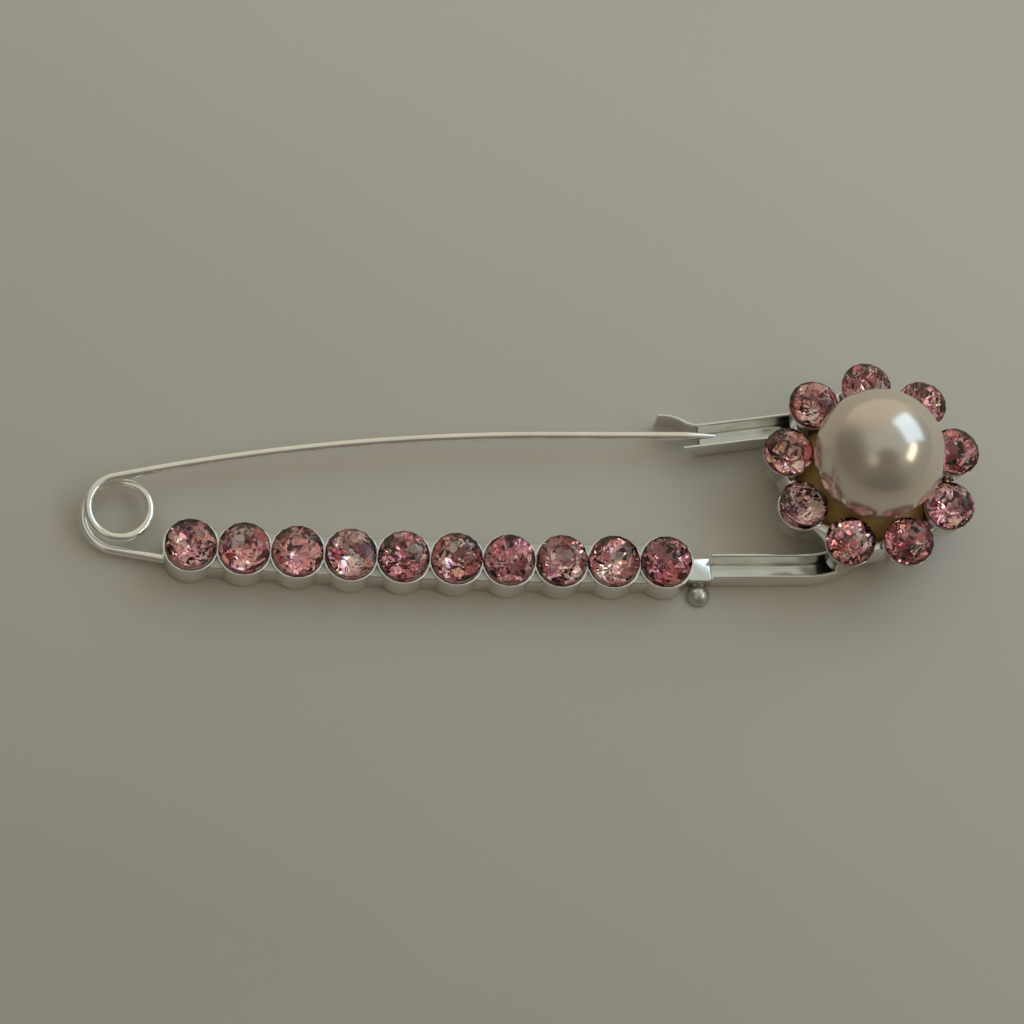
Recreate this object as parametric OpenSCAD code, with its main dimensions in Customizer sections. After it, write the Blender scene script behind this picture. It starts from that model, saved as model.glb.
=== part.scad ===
// Safety pin brooch with a bar of ten cut stones and a pearl flower on its head.
// It lies face up. X runs from the coil to the flower, Y across from the bar to the pin arm, Z up.
// The origin is under the middle of the whole brooch, on the surface that it lies on.

/* [Wire] */
// Diameter of the sprung wire
wire_d = 0.7; // [0.6:0.05:0.85]
// Height of the pin arm's centre line above the surface
arm_z = 2; // [1.7:0.05:2.05]
// Length of the tapered point of the pin arm
point_len = 2.5; // [1.5:0.1:3.5]
// Diameter of the flat at the very tip
tip_d = 0.08; // [0.06:0.02:0.2]
// Bend radius of the pin arm between the coil and its straight part
arm_bow_r = 163; // [150:1:175]
// Angle by which the pin arm has turned where it meets the coil
arm_bow_turn = 11.9; // [11.4:0.1:12.4]
// Length of the straight part of the pin arm, with its point
arm_straight = 13.2; // [12:0.1:14]
// How far the tip lies inside the catch, past its pinch
tip_inset = 1.2; // [1:0.1:2]
// How far the tip lies towards the inner wall from the middle of the catch
tip_side = 0.18; // [0.1:0.02:0.2]

/* [Coil] */
// Mean radius of the upper turn of the coil
coil_r = 2.33; // [2.2:0.01:2.5]
// How far the wire opens out where it leaves the coil for the pin arm
coil_lead = 0.12; // [0.05:0.01:0.3]
// How far the lower turn opens out on its way to the bar
coil_open = 0.7; // [0.5:0.05:0.8]
// Height of the wire's centre line where it enters the bar
tail_z = 0.58; // [0.5:0.02:0.7]
// Slope of the tail in plan, down towards the bar
tail_slope = 11; // [9:0.5:12]
// Length of the tail that is held inside the bar
tail_hold = 1.3; // [1:0.1:1.6]
// Radial clearance of the tail in the bar
tail_gap = 0.03; // [0.02:0.01:0.05]
// Clearance between the coil's end and the ball at the root of the pin arm
hinge_gap = 0.05; // [0.04:0.01:0.1]

/* [Stones] */
// Girdle diameter of a bar stone
bar_stone_d = 3.95; // [3.7:0.05:4.2]
// Girdle diameter of a flower stone
flower_stone_d = 3.88; // [3.6:0.02:4]
// Height of the crown above the girdle
crown_h = 0.62; // [0.45:0.01:0.8]
// Height of the girdle band
girdle_h = 0.16; // [0.1:0.01:0.25]
// Depth of the pavilion below the girdle
pavilion_h = 1.55; // [1.3:0.05:1.65]
// Diameter of the table facet
table_d = 2.1; // [1.8:0.05:2.5]
// Main facets round a stone
facets = 8; // [8, 10, 12]
// Clearance between a stone and its cup
seat_gap = 0.03; // [0.02:0.01:0.06]
// How far the seat's cone stays below the edge of a level stone's girdle
seat_drop = 0.1; // [0.08:0.01:0.15]
// Height of a level stone's girdle above the rim of its cup
stone_stand = 0.32; // [0.25:0.01:0.4]

/* [Cups] */
// How far a bar cup reaches beyond its stone's girdle
cup_wall = 0.18; // [0.15:0.01:0.25]
// Height of a bar cup's rim above the surface
bar_cup_h = 2.6; // [2.5:0.05:2.9]
// Stones in the bar
bar_count = 10; // [8:1:12]
// Gap between the girdles of neighbouring bar stones
bar_stone_space = 0.08; // [0.06:0.01:0.2]
// Bow radius of the row of bar stones in plan
bar_bow_r = 455; // [400:5:600]
// How far the last cup lies above the middle of the channel, across the bar
bar_side = 0.12; // [0:0.02:0.2]
// Width of the strip that joins the bar cups
strip_w = 3.2; // [2.8:0.1:3.4]
// How far the strip lies below the rims
strip_drop = 0.4; // [0.3:0.05:0.6]

/* [Head channel] */
// Outer width of the channel
channel_w = 2; // [1.9:0.05:2.2]
// Height of the channel walls
channel_h = 2.2; // [2.15:0.05:2.4]
// Thickness of the channel walls
channel_wall = 0.27; // [0.22:0.01:0.3]
// Thickness of the channel floor
channel_floor = 0.3; // [0.25:0.05:0.4]
// Centre line radius of the channel's bend
bend_r = 5.9; // [5.7:0.1:6.1]
// Angle by which the returning leg closes in beyond a half turn
return_angle = 7.5; // [7:0.5:8.5]
// Length of the lower leg from its cut end to the bend
lower_leg = 7.4; // [7:0.1:8]
// Length of the returning leg from the bend to the pinch of the catch
catch_leg = 6.85; // [6.6:0.05:7.1]
// Length of the neck between the last cup and the channel
neck_len = 1.55; // [1.4:0.05:1.8]
// Height of the neck
neck_h = 1.3; // [1:0.1:1.6]
// Radius of the small knob beside the neck
knob_r = 0.9; // [0.7:0.05:1]
// Height of the knob
knob_h = 0.95; // [0.8:0.05:1.1]
// Distance of the knob's axis from the last cup, along the bar
knob_along = 0.6; // [0.4:0.05:0.8]
// Distance of the knob's axis from the middle of the bar, across it
knob_side = 1.75; // [1.5:0.05:2]

/* [Catch] */
// Bend radius where the outer wall turns away from the pin
flare_in_r = 1.8; // [1.5:0.1:2.1]
// Angle of that bend
flare_in_turn = 40; // [35:1:46]
// Bend radius of the rounded lip
flare_out_r = 3.4; // [3:0.1:3.8]
// Angle of the lip's bend back
flare_out_turn = 38; // [33:1:44]
// How far the inner wall runs past the pinch at its top edge
inner_run = 1.65; // [1.4:0.05:1.9]
// How far its lower corner is cut back
inner_cut = 1.4; // [1:0.05:1.6]
// How far the floor stops short of the pinch
floor_back = 0.15; // [0.1:0.05:0.4]

/* [Flower] */
// Stones round the flower
flower_count = 9; // [8:1:9]
// Radius of the ring of flower stones
flower_ring_r = 6.63; // [6.5:0.02:6.8]
// Direction of the first flower stone from the flower's centre
flower_start = 10; // [0:2:20]
// Place of the flower's centre from the centre of the bend, along the bar
flower_dx = 5; // [4.6:0.1:5.4]
// Place of the flower's centre from the centre of the bend, across the bar
flower_dy = 1.07; // [0.9:0.01:1.3]
// Height of the flower cups above the channel
flower_cup_h = 2.9; // [2.8:0.05:3.1]
// Radius of a flower cup at its foot
flower_foot_r = 1.3; // [1.2:0.05:1.5]
// How far the rim of a flower cup stays inside its stone's girdle
flower_rim_in = 0.04; // [0:0.01:0.06]
// Diameter of the plate under the flower
plate_d = 11.2; // [10.6:0.1:12]
// Thickness of the plate above the channel
plate_h = 0.65; // [0.5:0.05:0.8]
// Depth of the solder where the flower sits on the channel
solder_h = 0.12; // [0.1:0.01:0.2]
// Width of the webs between the flower cups
web_w = 0.8; // [0.6:0.1:1]
// How far the webs lie below the rims
web_drop = 0.3; // [0.2:0.05:0.5]
// Gap between the plate's edge and the middle of a web
web_gap = 0.23; // [0.1:0.01:0.3]

/* [Pearl] */
// Diameter of the pearl
pearl_d = 10; // [9.6:0.1:10.2]
// Clearance under the pearl and round its peg
pearl_gap = 0.05; // [0.03:0.01:0.08]
// Diameter of the peg that holds the pearl
peg_d = 1.2; // [1:0.1:1.4]
// Length of the peg inside the pearl
peg_len = 3.5; // [3:0.1:4.5]
// Height of the glue bed above the plate
glue_h = 1.5; // [1.2:0.1:1.8]
// Clearance of the glue from what it touches
glue_gap = 0.03; // [0.02:0.01:0.05]

/* [Hidden] */
bar_names = [for (i = [1:bar_count]) str("bar_stone_", i)];
flower_names = [for (i = [1:flower_count]) str("flower_stone_", i)];

SILVER = [0.86, 0.86, 0.84];
STEEL = [0.78, 0.78, 0.76];
PINK = [0.80, 0.45, 0.52];
CREAM = [0.90, 0.88, 0.80];
AMBER = [0.62, 0.42, 0.16];

// Columns of the two seat tables: turn about the stone's axis, tilt, and the way it leans, in degrees,
// and how far the stone stands proud of its seat, as a share of the girdle's height
TURN = 0;
TILT = 1;
TOWARD = 2;
PROUD = 3;
BAR_SEATS = [
    [5, 3, 40, 0.5],
    [21, 2, 160, 0.3],
    [12, 1, 300, 0],
    [33, 2, 80, 0.3],
    [0, 1, 200, 0],
    [16, 2, 20, 0.3],
    [40, 1, 120, 0],
    [27, 2, 250, 0.3],
    [9, 2.5, 330, 0.4],
    [36, 1, 60, 0]
];
FLOWER_SEATS = [
    [14, 2, 0, 0.3],
    [31, 2.5, 60, 0.4],
    [8, 2, 100, 0.3],
    [25, 1, 140, 0],
    [3, 1, 190, 0],
    [19, 13, 45, 2.6],
    [38, 2, 260, 0.3],
    [11, 2.5, 210, 0.4],
    [29, 2, 330, 0.3]
];

// Fineness of round shapes and of the wire
ROUND = 64;
WIRE_SIDES = 14;
COIL_STEP = 6;

wire_r = wire_d / 2;

// Bar: the cups follow a wide bow that is level at the last cup
bar_pitch = bar_stone_d + bar_stone_space;
bar_cup_r = bar_stone_d / 2 + cup_wall;
bar_step = 2 * asin(bar_pitch / 2 / bar_bow_r);
function bar_angle(i) = (bar_count - i) * bar_step;
function bar_place(i) = [
    last_cup_x - bar_bow_r * sin(bar_angle(i)),
    leg_y + bar_side + bar_bow_r * (1 - cos(bar_angle(i)))
];

// Head channel, drawn from the centre of its bend
leg_y = -bend_r;
leg_end_x = -lower_leg;
last_cup_x = leg_end_x - neck_len - bar_cup_r;
catch_angle = 90 + return_angle;
catch_start = bend_r * [cos(catch_angle), sin(catch_angle)];
wall_mid = channel_w / 2 - channel_wall / 2;

// Sides of the channel in plan, each at a distance from the middle of the bend or of a wall
BEND_STEPS = 48;
FLARE_STEPS = 10;
pinch_place = catch_start - catch_leg * [cos(return_angle), sin(return_angle)];
flare_in_centre = pinch_place + (wall_mid + flare_in_r) * [cos(catch_angle), sin(catch_angle)];
flare_from = catch_angle + 180;
flare_to = flare_from - flare_in_turn;
flare_out_centre = flare_in_centre + (flare_in_r + flare_out_r) * [cos(flare_to), sin(flare_to)];
function arc_points(centre, r, from, to, steps) =
    [for (k = [0:steps]) let (a = from + (to - from) * k / steps) centre + r * [cos(a), sin(a)]];
function bend_side(out) = concat(
    [[leg_end_x, leg_y - out]],
    arc_points([0, 0], bend_r + out, -90, catch_angle, BEND_STEPS)
);
function leg_point(out, len) =
    (bend_r + out) * [cos(catch_angle), sin(catch_angle)] - len * [cos(return_angle), sin(return_angle)];
function floor_side(out) = concat(bend_side(out), [leg_point(out, catch_leg - floor_back)]);
function inner_side(out) = concat(bend_side(out - wall_mid), [leg_point(out - wall_mid, catch_leg + inner_run)]);
function outer_side(out) = concat(
    bend_side(wall_mid + out),
    arc_points(flare_in_centre, flare_in_r - out, flare_from, flare_to, FLARE_STEPS),
    arc_points(flare_out_centre, flare_out_r + out, flare_to - 180, flare_to - 180 + flare_out_turn, FLARE_STEPS)
);
function band(side_a, side_b) = concat(side_b, [for (k = [len(side_a) - 1:-1:0]) side_a[k]]);

// Knob beside the neck
knob_place = [leg_end_x - neck_len + knob_along, leg_y - knob_side];

// Flower, seated on the channel
flower_place = [flower_dx, flower_dy];
flower_cup_r = flower_stone_d / 2 - flower_rim_in;
flower_rim_z = channel_h + flower_cup_h;
flower_step = 360 / flower_count;
plate_top = channel_h + plate_h;
function flower_angle(i) = flower_start + i * flower_step;
function flower_cup(i) = flower_place + flower_ring_r * [cos(flower_angle(i)), sin(flower_angle(i))];

// Pearl, held on a peg just clear of the plate
pearl_r = pearl_d / 2;
pearl_z = plate_top + pearl_gap + pearl_r;
glue_r = flower_ring_r - flower_foot_r - (flower_cup_r - flower_foot_r) * (plate_h + glue_h) / flower_cup_h
    - 2 * glue_gap;

// Pin arm: its point lies along the middle of the catch, and it bows down to the coil from there
tip_place = catch_start + (catch_leg - tip_inset) * [-cos(return_angle), -sin(return_angle)]
    - [0, tip_side];
bow_end = tip_place - [arm_straight, 0];
bow_centre = bow_end - [0, arm_bow_r];
root_place = bow_centre + arm_bow_r * [-sin(arm_bow_turn), cos(arm_bow_turn)];

// Coil: from the root of the pin arm round one and a half turns to the tail
lead_angle = 90 + arm_bow_turn;
tail_angle = 270 - tail_slope + 360;
lead_fade = 110;
open_from = 440;
open_fade = 185;
coil_centre = root_place - (coil_r + coil_lead) * [cos(lead_angle), sin(lead_angle)];
function ease(t) = t <= 0 ? 0 : t >= 1 ? 1 : t * t * (3 - 2 * t);
function coil_radius(a) = coil_r + coil_lead * (1 - ease((a - lead_angle) / lead_fade))
    + coil_open * ease((a - open_from) / open_fade);
function coil_height(a) = arm_z + (tail_z - arm_z) * (a - lead_angle) / (tail_angle - lead_angle);
function coil_point(a) = [
    coil_centre[0] + coil_radius(a) * cos(a),
    coil_centre[1] + coil_radius(a) * sin(a),
    coil_height(a)
];

// The coil starts just short of the ball at the root, and ends in the straight tail
root_trim = (wire_r + hinge_gap) / (coil_r + coil_lead) * 180 / PI;
coil_turns = tail_angle - lead_angle - root_trim;
coil_count = ceil(coil_turns / COIL_STEP);
coil_arc = [for (k = [0:coil_count]) coil_point(lead_angle + root_trim + coil_turns * k / coil_count)];
tail_start = coil_point(tail_angle);
tail_heading = [cos(tail_slope), -sin(tail_slope), 0];
first_cup = bar_place(1);
tail_end_x = first_cup[0] - bar_cup_r + tail_hold;
tail_len = (tail_end_x - tail_start[0]) / cos(tail_slope);
TAIL_RINGS = 4;
tail_path = [for (k = [1:TAIL_RINGS]) tail_start + tail_heading * tail_len * k / TAIL_RINGS];
coil_path = concat(coil_arc, tail_path);

// The pin arm starts in a half ball round its root, follows the bow and ends in the point
BALL_ANGLES = [10, 35, 62];
BOW_STEPS = 18;
root_heading = [cos(arm_bow_turn), sin(arm_bow_turn), 0];
ball_path = [for (a = BALL_ANGLES) [root_place[0], root_place[1], arm_z] - root_heading * wire_r * cos(a)];
bow_path = [for (k = [0:BOW_STEPS])
    let (a = arm_bow_turn * (1 - k / BOW_STEPS))
    [bow_centre[0] - arm_bow_r * sin(a), bow_centre[1] + arm_bow_r * cos(a), arm_z]];
point_path = [for (x = [arm_straight - point_len, arm_straight]) [bow_end[0] + x, bow_end[1], arm_z]];
arm_path = concat(ball_path, bow_path, point_path);
arm_radii = concat(
    [for (a = BALL_ANGLES) wire_r * sin(a)],
    [for (p = bow_path) wire_r],
    [wire_r, tip_d / 2]
);

// Middle of the whole brooch, which becomes the origin
left_x = min([for (p = coil_path) p[0]]) - wire_r;
right_x = max([for (i = [0:flower_count - 1]) flower_cup(i)[0]]) + flower_cup_r;
top_y = max([for (i = [0:flower_count - 1]) flower_cup(i)[1]]) + flower_cup_r;
low_flower_y = min([for (i = [0:flower_count - 1]) flower_cup(i)[1]]) - flower_cup_r;
low_y = min(knob_place[1] - knob_r, low_flower_y);
middle = [(left_x + right_x) / 2, (low_y + top_y) / 2, 0];

// Cut stone with a table, star, kite and girdle facets above, and kite and girdle facets below.
// Its girdle's lower edge lies at z = 0.
module cut_stone(d) {
    n = facets;
    r = d / 2;
    half = 180 / n;
    table_r = table_d / 2;
    star_r = table_r + (r - table_r) * 0.5;
    star_h = girdle_h + crown_h * (r - star_r * cos(half)) / (r - table_r);
    keel_r = r * 0.42;
    keel_h = -pavilion_h * (r - keel_r * cos(half)) / r;
    table = [for (k = [0:n - 1]) [table_r * cos(2 * half * k), table_r * sin(2 * half * k), girdle_h + crown_h]];
    star = [for (k = [0:n - 1]) [star_r * cos(half * (2 * k + 1)), star_r * sin(half * (2 * k + 1)), star_h]];
    upper = [for (k = [0:2 * n - 1]) [r * cos(half * k), r * sin(half * k), girdle_h]];
    lower = [for (k = [0:2 * n - 1]) [r * cos(half * k), r * sin(half * k), 0]];
    keel = [for (k = [0:n - 1]) [keel_r * cos(half * (2 * k + 1)), keel_r * sin(half * (2 * k + 1)), keel_h]];
    points = concat(table, star, upper, lower, keel, [[0, 0, -pavilion_h]]);
    T = 0;
    S = n;
    U = 2 * n;
    L = 4 * n;
    K = 6 * n;
    culet = 7 * n;
    faces = concat(
        [[for (k = [n - 1:-1:0]) T + k]],
        [for (k = [0:n - 1]) [T + k, T + (k + 1) % n, S + k]],
        [for (k = [0:n - 1]) [T + k, S + k, U + 2 * k]],
        [for (k = [0:n - 1]) [T + k, U + 2 * k, S + (k + n - 1) % n]],
        [for (k = [0:n - 1]) [S + k, U + 2 * k + 1, U + 2 * k]],
        [for (k = [0:n - 1]) [S + k, U + (2 * k + 2) % (2 * n), U + 2 * k + 1]],
        [for (k = [0:2 * n - 1]) [U + k, U + (k + 1) % (2 * n), L + k]],
        [for (k = [0:2 * n - 1]) [U + (k + 1) % (2 * n), L + (k + 1) % (2 * n), L + k]],
        [for (k = [0:n - 1]) [L + 2 * k, L + 2 * k + 1, K + k]],
        [for (k = [0:n - 1]) [L + 2 * k + 1, L + (2 * k + 2) % (2 * n), K + k]],
        [for (k = [0:n - 1]) [L + 2 * k, K + k, culet]],
        [for (k = [0:n - 1]) [L + 2 * k, culet, K + (k + n - 1) % n]]
    );
    color(PINK)
        polyhedron(points = points, faces = faces);
}

// Stone set in a cup whose rim is at rim_z, turned and leaning as its row of the seat table says
module seated_stone(place, rim_z, d, seat) {
    lift = stone_stand + seat[PROUD] * girdle_h;
    translate([place[0], place[1], rim_z + lift])
        rotate([0, 0, seat[TOWARD]])
            rotate([0, seat[TILT], 0])
                rotate([0, 0, seat[TURN] - seat[TOWARD]])
                    cut_stone(d);
}

// Room for a stone: a cone that follows the pavilion, with clearance
module stone_room(rim_z, d) {
    bore_r = d / 2 + seat_gap;
    seat_z = rim_z + stone_stand - seat_drop;
    cone_h = pavilion_h * 2 * bore_r / d;
    rotate_extrude($fn = ROUND)
        polygon([[0, seat_z - cone_h], [bore_r, seat_z], [bore_r, seat_z + 1], [0, seat_z + 1]]);
}

// Ten cups on their strip, with the neck and knob at the right-hand end
module bar_body() {
    for (i = [1:bar_count])
        translate(bar_place(i))
            cylinder(h = bar_cup_h, r = bar_cup_r, $fn = ROUND);
    for (i = [1:bar_count - 1])
        translate(bar_place(i))
            rotate([0, 0, -bar_angle(i) + bar_step / 2])
                translate([0, -strip_w / 2, 0])
                    cube([bar_pitch, strip_w, bar_cup_h - strip_drop]);
    translate([last_cup_x, leg_y - channel_w / 2, 0])
        cube([leg_end_x - last_cup_x, channel_w, neck_h]);
    translate(knob_place)
        knob();
}

// Low round knob that is joined to the neck
module knob() {
    dome_r = (knob_r * knob_r + knob_h * knob_h) / (2 * knob_h);
    intersection() {
        translate([0, 0, knob_h - dome_r])
            sphere(r = dome_r, $fn = ROUND);
        cylinder(h = 2 * knob_h, r = 2 * knob_r, $fn = ROUND);
    }
    translate([-knob_r / 2, 0, 0])
        cube([knob_r, knob_side, knob_h * 0.6]);
}

// Head: a floor and two walls, open at the top, with the outer wall flared at the catch
module channel() {
    linear_extrude(channel_floor)
        polygon(band(floor_side(-wall_mid), floor_side(wall_mid)));
    linear_extrude(channel_h)
        polygon(band(outer_side(-channel_wall / 2), outer_side(channel_wall / 2)));
    difference() {
        linear_extrude(channel_h)
            polygon(band(inner_side(-channel_wall / 2), inner_side(channel_wall / 2)));
        inner_wall_cut();
    }
}

// Slanted cut that takes back the foot of the inner wall past the pinch
module inner_wall_cut() {
    foot = inner_run - inner_cut;
    slope = inner_cut / channel_h;
    translate(pinch_place)
        rotate([90, 0, 180 + return_angle])
            translate([0, 0, -channel_w])
                linear_extrude(2 * channel_w)
                    polygon([
                        [foot - slope, -1],
                        [2 * inner_run, -1],
                        [2 * inner_run, channel_h + 1],
                        [inner_run + slope, channel_h + 1]
                    ]);
}

// Nine cups that widen upwards on a plate, joined by webs, with the peg for the pearl
module flower_body() {
    translate([flower_place[0], flower_place[1], channel_h - solder_h])
        cylinder(h = plate_h + solder_h, d = plate_d, $fn = ROUND);
    for (i = [0:flower_count - 1]) {
        translate([flower_cup(i)[0], flower_cup(i)[1], channel_h - solder_h])
            cylinder(h = flower_cup_h + solder_h, r1 = flower_foot_r, r2 = flower_cup_r, $fn = ROUND);
        translate(flower_place)
            rotate([0, 0, flower_angle(i) + flower_step / 2])
                flower_web();
    }
    translate([flower_place[0], flower_place[1], plate_top])
        cylinder(h = pearl_gap + peg_len, d = peg_d, $fn = ROUND);
}

// Web between two neighbouring cups of the flower
module flower_web() {
    span = flower_ring_r * sin(flower_step / 2);
    translate([plate_d / 2 + web_gap, -span, channel_h])
        cube([web_w, 2 * span, flower_cup_h - web_drop]);
}

// One plated casting with its soldered flower
module frame() {
    color(SILVER)
        difference() {
            union() {
                bar_body();
                channel();
                flower_body();
            }
            for (i = [1:bar_count])
                translate(bar_place(i))
                    stone_room(bar_cup_h, bar_stone_d);
            for (i = [0:flower_count - 1])
                translate(flower_cup(i))
                    stone_room(flower_rim_z, flower_stone_d);
            tail_socket();
        }
}

// Hole in the first cup's foot that holds the tail of the wire
module tail_socket() {
    end = tail_path[TAIL_RINGS - 1];
    reach = 2 * tail_hold;
    translate(end + tail_heading * (tail_gap - reach))
        rotate([0, 0, -tail_slope])
            rotate([0, 90, 0])
                cylinder(h = reach, r = wire_r + tail_gap, $fn = ROUND);
}

// Unit vector along a path at its point k
function heading(path, k) =
    let (a = path[max(k - 1, 0)], b = path[min(k + 1, len(path) - 1)])
    (b - a) / norm(b - a);

// Ring of points round a path at its point k
function ring(path, k, r, sides) =
    let (h = heading(path, k), side = [h[1], -h[0], 0] / norm([h[0], h[1]]), up = cross(side, h))
    [for (j = [0:sides - 1]) path[k] + r * (side * cos(360 * j / sides) + up * sin(360 * j / sides))];

// Round wire along a path, with its radius at each point
module wire_along(path, radii, sides) {
    n = len(path);
    points = [for (k = [0:n - 1]) for (p = ring(path, k, radii[k], sides)) p];
    near_end = [for (j = [0:sides - 1]) j];
    far_end = [for (j = [sides - 1:-1:0]) (n - 1) * sides + j];
    walls = [for (k = [0:n - 2]) for (j = [0:sides - 1])
        [k * sides + j, (k + 1) * sides + j, (k + 1) * sides + (j + 1) % sides, k * sides + (j + 1) % sides]];
    polyhedron(points = points, faces = concat([near_end], walls, [far_end]));
}

module spring_coil() {
    color(STEEL)
        wire_along(coil_path, [for (p = coil_path) wire_r], WIRE_SIDES);
}

// Pin arm: a half ball at the root, the wide bow, the straight part and the point
module pin_arm() {
    color(STEEL)
        wire_along(arm_path, arm_radii, WIRE_SIDES);
}

module pearl() {
    color(CREAM)
        translate([flower_place[0], flower_place[1], pearl_z])
            difference() {
                sphere(r = pearl_r, $fn = 96);
                translate([0, 0, -pearl_r - 1])
                    cylinder(h = peg_len + pearl_gap + 1, d = peg_d + 2 * pearl_gap, $fn = ROUND);
            }
}

// Glue between the plate and the underside of the pearl
module glue_bed() {
    color(AMBER)
        translate([flower_place[0], flower_place[1], 0])
            difference() {
                translate([0, 0, plate_top + glue_gap])
                    cylinder(h = glue_h, r = glue_r, $fn = ROUND);
                translate([0, 0, pearl_z])
                    sphere(r = pearl_r + glue_gap, $fn = 96);
                translate([0, 0, plate_top])
                    cylinder(h = glue_h, d = peg_d + 2 * glue_gap, $fn = ROUND);
            }
}

module bar_stone(i) {
    seat = BAR_SEATS[(i - 1) % len(BAR_SEATS)];
    seated_stone(bar_place(i), bar_cup_h, bar_stone_d, seat);
}

module flower_stone(i) {
    seat = FLOWER_SEATS[(i - 1) % len(FLOWER_SEATS)];
    seated_stone(flower_cup(i - 1), flower_rim_z, flower_stone_d, seat);
}

// Moves a piece so that the origin is under the middle of the brooch
module placed() {
    translate(-middle)
        children();
}

placed() frame();
placed() spring_coil();
placed() pin_arm();
placed() pearl();
placed() glue_bed();
for (i = [1:bar_count])
    placed() bar_stone(i);
for (i = [1:flower_count])
    placed() flower_stone(i);
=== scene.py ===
"""Safety pin brooch, lying face up: a bar of cut stones, a sprung wire and a pearl flower on the head.

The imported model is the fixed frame. Every size of the brooch is in millimetres, drawn from the middle
of the head's bend, until a finished piece is moved to its place and scaled to metres. The table, the
lights and the camera are in metres.
"""

import math

import bmesh
import bpy
from mathutils import Matrix, Vector


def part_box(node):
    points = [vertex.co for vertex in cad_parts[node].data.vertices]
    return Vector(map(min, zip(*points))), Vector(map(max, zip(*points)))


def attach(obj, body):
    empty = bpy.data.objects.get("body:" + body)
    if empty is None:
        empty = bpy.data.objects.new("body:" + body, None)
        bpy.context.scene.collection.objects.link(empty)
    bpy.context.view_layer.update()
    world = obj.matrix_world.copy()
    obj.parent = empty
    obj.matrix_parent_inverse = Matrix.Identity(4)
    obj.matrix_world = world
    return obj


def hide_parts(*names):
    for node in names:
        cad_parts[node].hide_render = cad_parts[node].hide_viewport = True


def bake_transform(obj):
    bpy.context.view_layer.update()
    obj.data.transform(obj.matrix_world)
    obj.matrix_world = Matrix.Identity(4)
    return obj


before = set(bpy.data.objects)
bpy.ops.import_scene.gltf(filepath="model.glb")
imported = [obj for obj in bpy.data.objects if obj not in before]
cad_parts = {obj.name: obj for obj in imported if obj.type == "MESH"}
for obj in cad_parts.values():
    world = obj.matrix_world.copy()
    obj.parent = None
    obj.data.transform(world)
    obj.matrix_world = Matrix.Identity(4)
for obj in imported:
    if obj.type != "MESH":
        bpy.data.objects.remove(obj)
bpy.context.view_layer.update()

bl_info = {
    "name": "Safety Pin Brooch",
    "version": (1, 0, 0),
    "blender": (4, 5, 0),
    "location": "3D View > Sidebar > Brooch",
    "description": "Makes a plated safety pin brooch with cut stones and a pearl flower",
    "category": "Add Mesh",
}

MM = 0.001

# Bar of cups
BAR_COUNT = 10
BAR_STONE_D = 3.95
BAR_STONE_SPACE = 0.08
BAR_CUP_H = 2.6
BAR_BOW_R = 455
BAR_SIDE = 0.12
STRIP_W = 3.2
STRIP_DROP = 0.4
SEAT_GAP = 0.03
SEAT_DROP = 0.1
STONE_STAND = 0.32
CUP_WALL = 0.18

# Head channel
CHANNEL_W = 2
CHANNEL_H = 2.2
CHANNEL_WALL = 0.27
CHANNEL_FLOOR = 0.3
BEND_R = 5.9
RETURN_ANGLE = math.radians(7.5)
LOWER_LEG = 7.4
CATCH_LEG = 6.85
FLOOR_BACK = 0.15
NECK_LEN = 1.55
NECK_H = 1.3
KNOB_R = 0.9
KNOB_H = 0.95
KNOB_SIDE = 1.75
KNOB_ALONG = 0.6
BRIDGE_SHARE = 0.6
FLARE_IN_R = 1.8
FLARE_IN_TURN = math.radians(40)
FLARE_OUT_R = 3.4
FLARE_OUT_TURN = math.radians(38)
INNER_RUN = 1.65
INNER_CUT = 1.4

# Flower
FLOWER_COUNT = 9
FLOWER_STONE_D = 3.88
FLOWER_RING_R = 6.63
FLOWER_START = math.radians(10)
FLOWER_DX = 5
FLOWER_DY = 1.07
FLOWER_CUP_H = 2.9
FLOWER_FOOT_R = 1.3
FLOWER_RIM_IN = 0.04
PLATE_R = 5.6
PLATE_H = 0.65
SOLDER_H = 0.12
WEB_W = 0.8
WEB_GAP = 0.23
WEB_DROP = 0.3
PEG_R = 0.6
PEG_LEN = 3.5
PEARL_GAP = 0.05
GLUE_GAP = 0.03

# Stones
CROWN_H = 0.62
GIRDLE_H = 0.16
PAVILION_H = 1.55
TABLE_D = 2.1
FACETS = 8
STAR_SHARE = 0.5
KEEL_SHARE = 0.42

# Wire
ARM_Z = 2
ARM_BOW_R = 163
ARM_BOW_TURN = math.radians(11.9)
ARM_STRAIGHT = 13.2
TIP_INSET = 1.2
TIP_SIDE = 0.18
POINT_LEN = 2.5
COIL_R = 2.33
COIL_LEAD = 0.12
COIL_OPEN = 0.7
LEAD_FADE = math.radians(110)
OPEN_FROM = math.radians(440)
OPEN_FADE = math.radians(185)
TAIL_Z = 0.58
TAIL_SLOPE = math.radians(11)
TAIL_HOLD = 1.3
TAIL_GAP = 0.03

# Small roundings and laps that only the finished metal has
STRIP_FOOT_EDGE = 0.3
STRIP_TOP_EDGE = 0.12
NECK_EDGE = 0.18
NECK_LAP = 0.04
KNOB_EDGE = 0.15
ROOM_EDGE = 0.03
COVE = 0.2
CATCH_EDGE = 0.07
CUT_EDGE = 0.05
PLATE_EDGE = 0.12
WEB_EDGE = 0.2

# Slack in height, and slopes, that tell which faces get which material
FACE_SLACK = 0.01
TOP_SLOPE = 0.5
GIRDLE_SLOPE = 0.1

# Fineness of turned shapes, bends and the wire
ROUND = 96
FINE_ROUND = 144
SMALL_ROUND = 48
HOLE_SIDES = 64
BEND_STEPS = 72
FLARE_IN_STEPS = 12
FLARE_OUT_STEPS = 14
ARM_STEPS = 120
RUN_STEPS = 12
POINT_STEPS = 24
COIL_STEPS = 180
TAIL_STEPS = 8

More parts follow.
